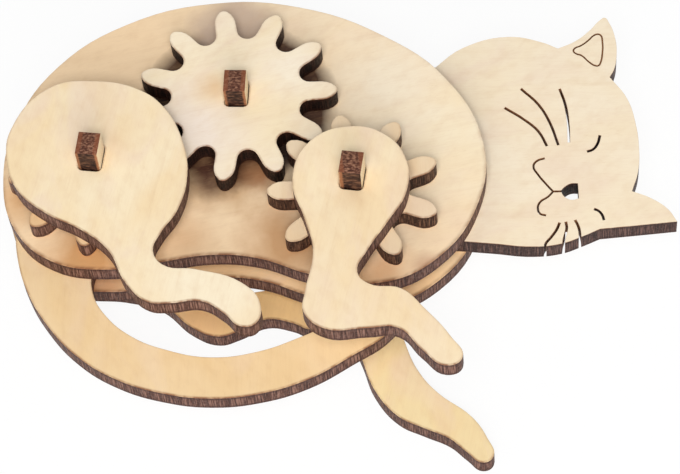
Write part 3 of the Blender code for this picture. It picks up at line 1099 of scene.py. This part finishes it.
IDLER_DRIVE = DriveSet(
    "idler",
    shift=(0.1, 0.5, 0.0),
    gear_grain=Grain.SLANTED,
    gear=Tones(
        linear(250, 235, 209),
        linear(248, 230, 196),
        shade_and_tone_patches=(
            ShadeAndTonePatch(-6.0, 20.0, 2.5, 7.0, 0.7, linear(253, 242, 222)),
            ShadeAndTonePatch(-19.0, 10.0, 3.0, 7.5, 0.8, linear(244, 229, 216)),
            ShadeAndTonePatch(-8.5, 11.0, 2.0, 6.5, 0.6, linear(246, 226, 186)),
            ShadeAndTonePatch(-17.2, 17.6, 0.5, 3.8, 0.75, linear(226, 188, 142)),
        ),
    ),
)
FORE_DRIVE = DriveSet(
    "fore",
    shift=(0.3, 0.7, 0.0),
    gear_grain=Grain.UPRIGHT,
    gear=Tones(linear(243, 220, 186), linear(238, 208, 168)),
    gear_cut=FORE_GEAR_CHAR_WITH_PAINTED_SHADE,
    front_leg=replace(
        LEG_TONES, shade_and_tone_patches=(ShadeAndTonePatch(2.8, -2.5, 0.8, 3.4, 0.45, linear(226, 190, 146)),)
    ),
    # The rear leg's warmer ground is partly the wood's own tone and partly painted warm shade under
    # the plates
    rear_leg=Tones(linear(241, 223, 174), linear(238, 213, 161)),
)


@dataclass(frozen=True)
class Softbox:
    """A square lamp that faces the object: place and side in metres, power in watts."""

    name: str
    place: Triple
    side: float
    power: float


@dataclass
class Studio:
    """The pale floor, the white surround, soft lights and the photograph's camera."""

    camera_place: Triple = (0.021582, -0.207917, 0.381472)
    camera_target: Triple = (0.000419, -0.005535, 0.0165)
    lens: float = 160.51
    sensor_width: float = 36.0
    nearest: float = 0.01
    farthest: float = 20.0
    floor_gap: float = 0.05 * MM
    floor_reach: float = 2.5
    floor_glow: float = 0.90
    fill: float = 0.37
    softboxes: tuple[Softbox, ...] = (
        Softbox("key_softbox", (0.00, -0.38, 0.66), 0.30, 3.3),
        Softbox("low_softbox", (0.06, -0.60, 0.24), 0.50, 2.2),
    )

    def seen_by_camera(self, tree: bpy.types.NodeTree) -> Socket:
        """A value that is 1 on camera, glossy and transmission rays.

        Args:
            tree: The node tree that gets the nodes.

        Returns:
            The value.
        """
        path = tree.nodes.new("ShaderNodeLightPath")
        value = path.outputs["Is Camera Ray"]
        for name in ("Is Glossy Ray", "Is Transmission Ray"):
            larger = tree.nodes.new("ShaderNodeMath")
            larger.operation = "MAXIMUM"
            tree.links.new(value, larger.inputs[0])
            tree.links.new(path.outputs[name], larger.inputs[1])
            value = larger.outputs["Value"]
        return value

    def build_floor(self) -> None:
        """Lays a plain pale floor just under the rear legs."""
        deselect_all()
        bpy.ops.mesh.primitive_plane_add(
            size=2 * self.floor_reach, location=(0, 0, -self.floor_gap)
        )
        floor = bpy.context.object
        floor.name = "studio_floor"
        board = NodeBoard("pale_floor")
        matt = board.add("ShaderNodeBsdfDiffuse")
        matt.inputs["Color"].default_value = WHITE
        glow = board.add("ShaderNodeEmission")
        glow.inputs["Strength"].default_value = 1.0
        mix = board.add("ShaderNodeMixShader")
        share = board.combine("MULTIPLY", self.seen_by_camera(board.tree), self.floor_glow)
        board.link(share, mix.inputs[0])
        board.link(matt.outputs["BSDF"], mix.inputs[1])
        board.link(glow.outputs["Emission"], mix.inputs[2])
        board.link(mix.outputs["Shader"], board.output.inputs["Surface"])
        floor.data.materials.append(board.material)

    def build_surround(self) -> None:
        """Makes the world white to the eye and a soft fill to the object."""
        world = bpy.data.worlds.new("studio_white")
        bpy.context.scene.world = world
        world.use_nodes = True
        tree = world.node_tree
        tree.nodes.clear()
        fill = tree.nodes.new("ShaderNodeBackground")
        fill.inputs["Strength"].default_value = self.fill
        white = tree.nodes.new("ShaderNodeBackground")
        white.inputs["Strength"].default_value = 1.0
        for background in (fill, white):
            background.inputs["Color"].default_value = WHITE
        mix = tree.nodes.new("ShaderNodeMixShader")
        output = tree.nodes.new("ShaderNodeOutputWorld")
        tree.links.new(self.seen_by_camera(tree), mix.inputs[0])
        tree.links.new(fill.outputs["Background"], mix.inputs[1])
        tree.links.new(white.outputs["Background"], mix.inputs[2])
        tree.links.new(mix.outputs["Shader"], output.inputs["Surface"])

    def add_softbox(self, softbox: Softbox) -> None:
        """Hangs a softbox.

        Args:
            softbox: The lamp.
        """
        lamp = bpy.data.lights.new(softbox.name, "AREA")
        lamp.shape = "SQUARE"
        lamp.size = softbox.side
        lamp.energy = softbox.power
        holder = bpy.data.objects.new(softbox.name, lamp)
        holder.location = softbox.place
        ahead = Vector(self.camera_target) - Vector(softbox.place)
        holder.rotation_euler = ahead.to_track_quat("-Z", "Y").to_euler()
        bpy.context.scene.collection.objects.link(holder)

    def build_camera(self) -> None:
        """Sets the camera where the photograph was taken from, +Y up in the picture."""
        lens = bpy.data.cameras.new("photo_camera")
        lens.lens = self.lens
        lens.sensor_width = self.sensor_width
        lens.sensor_fit = "HORIZONTAL"
        lens.clip_start = self.nearest
        lens.clip_end = self.farthest
        holder = bpy.data.objects.new("photo_camera", lens)
        place = Vector(self.camera_place)
        ahead = (Vector(self.camera_target) - place).normalized()
        right = ahead.cross(Vector((0, 1, 0))).normalized()
        up = right.cross(ahead)
        turn = Matrix((right, up, -ahead)).transposed().to_4x4()
        holder.matrix_world = Matrix.Translation(place) @ turn
        bpy.context.scene.collection.objects.link(holder)
        bpy.context.scene.camera = holder

    def build(self) -> None:
        """Sets the whole stage."""
        self.build_floor()
        self.build_surround()
        for softbox in self.softboxes:
            self.add_softbox(softbox)
        self.build_camera()
        bpy.context.scene.view_settings.view_transform = "Standard"


def main() -> None:
    """Builds every sub-assembly and reports its pieces, then sets the stage."""
    logging.basicConfig(level=logging.INFO, format="%(message)s")
    for assembly in (BodyStack(), HIND_DRIVE, IDLER_DRIVE, FORE_DRIVE):
        for piece in assembly.build():
            LOG.info("%s: %d faces", piece.name, len(piece.data.polygons))
    Studio().build()


if __name__ == "__main__":
    main()
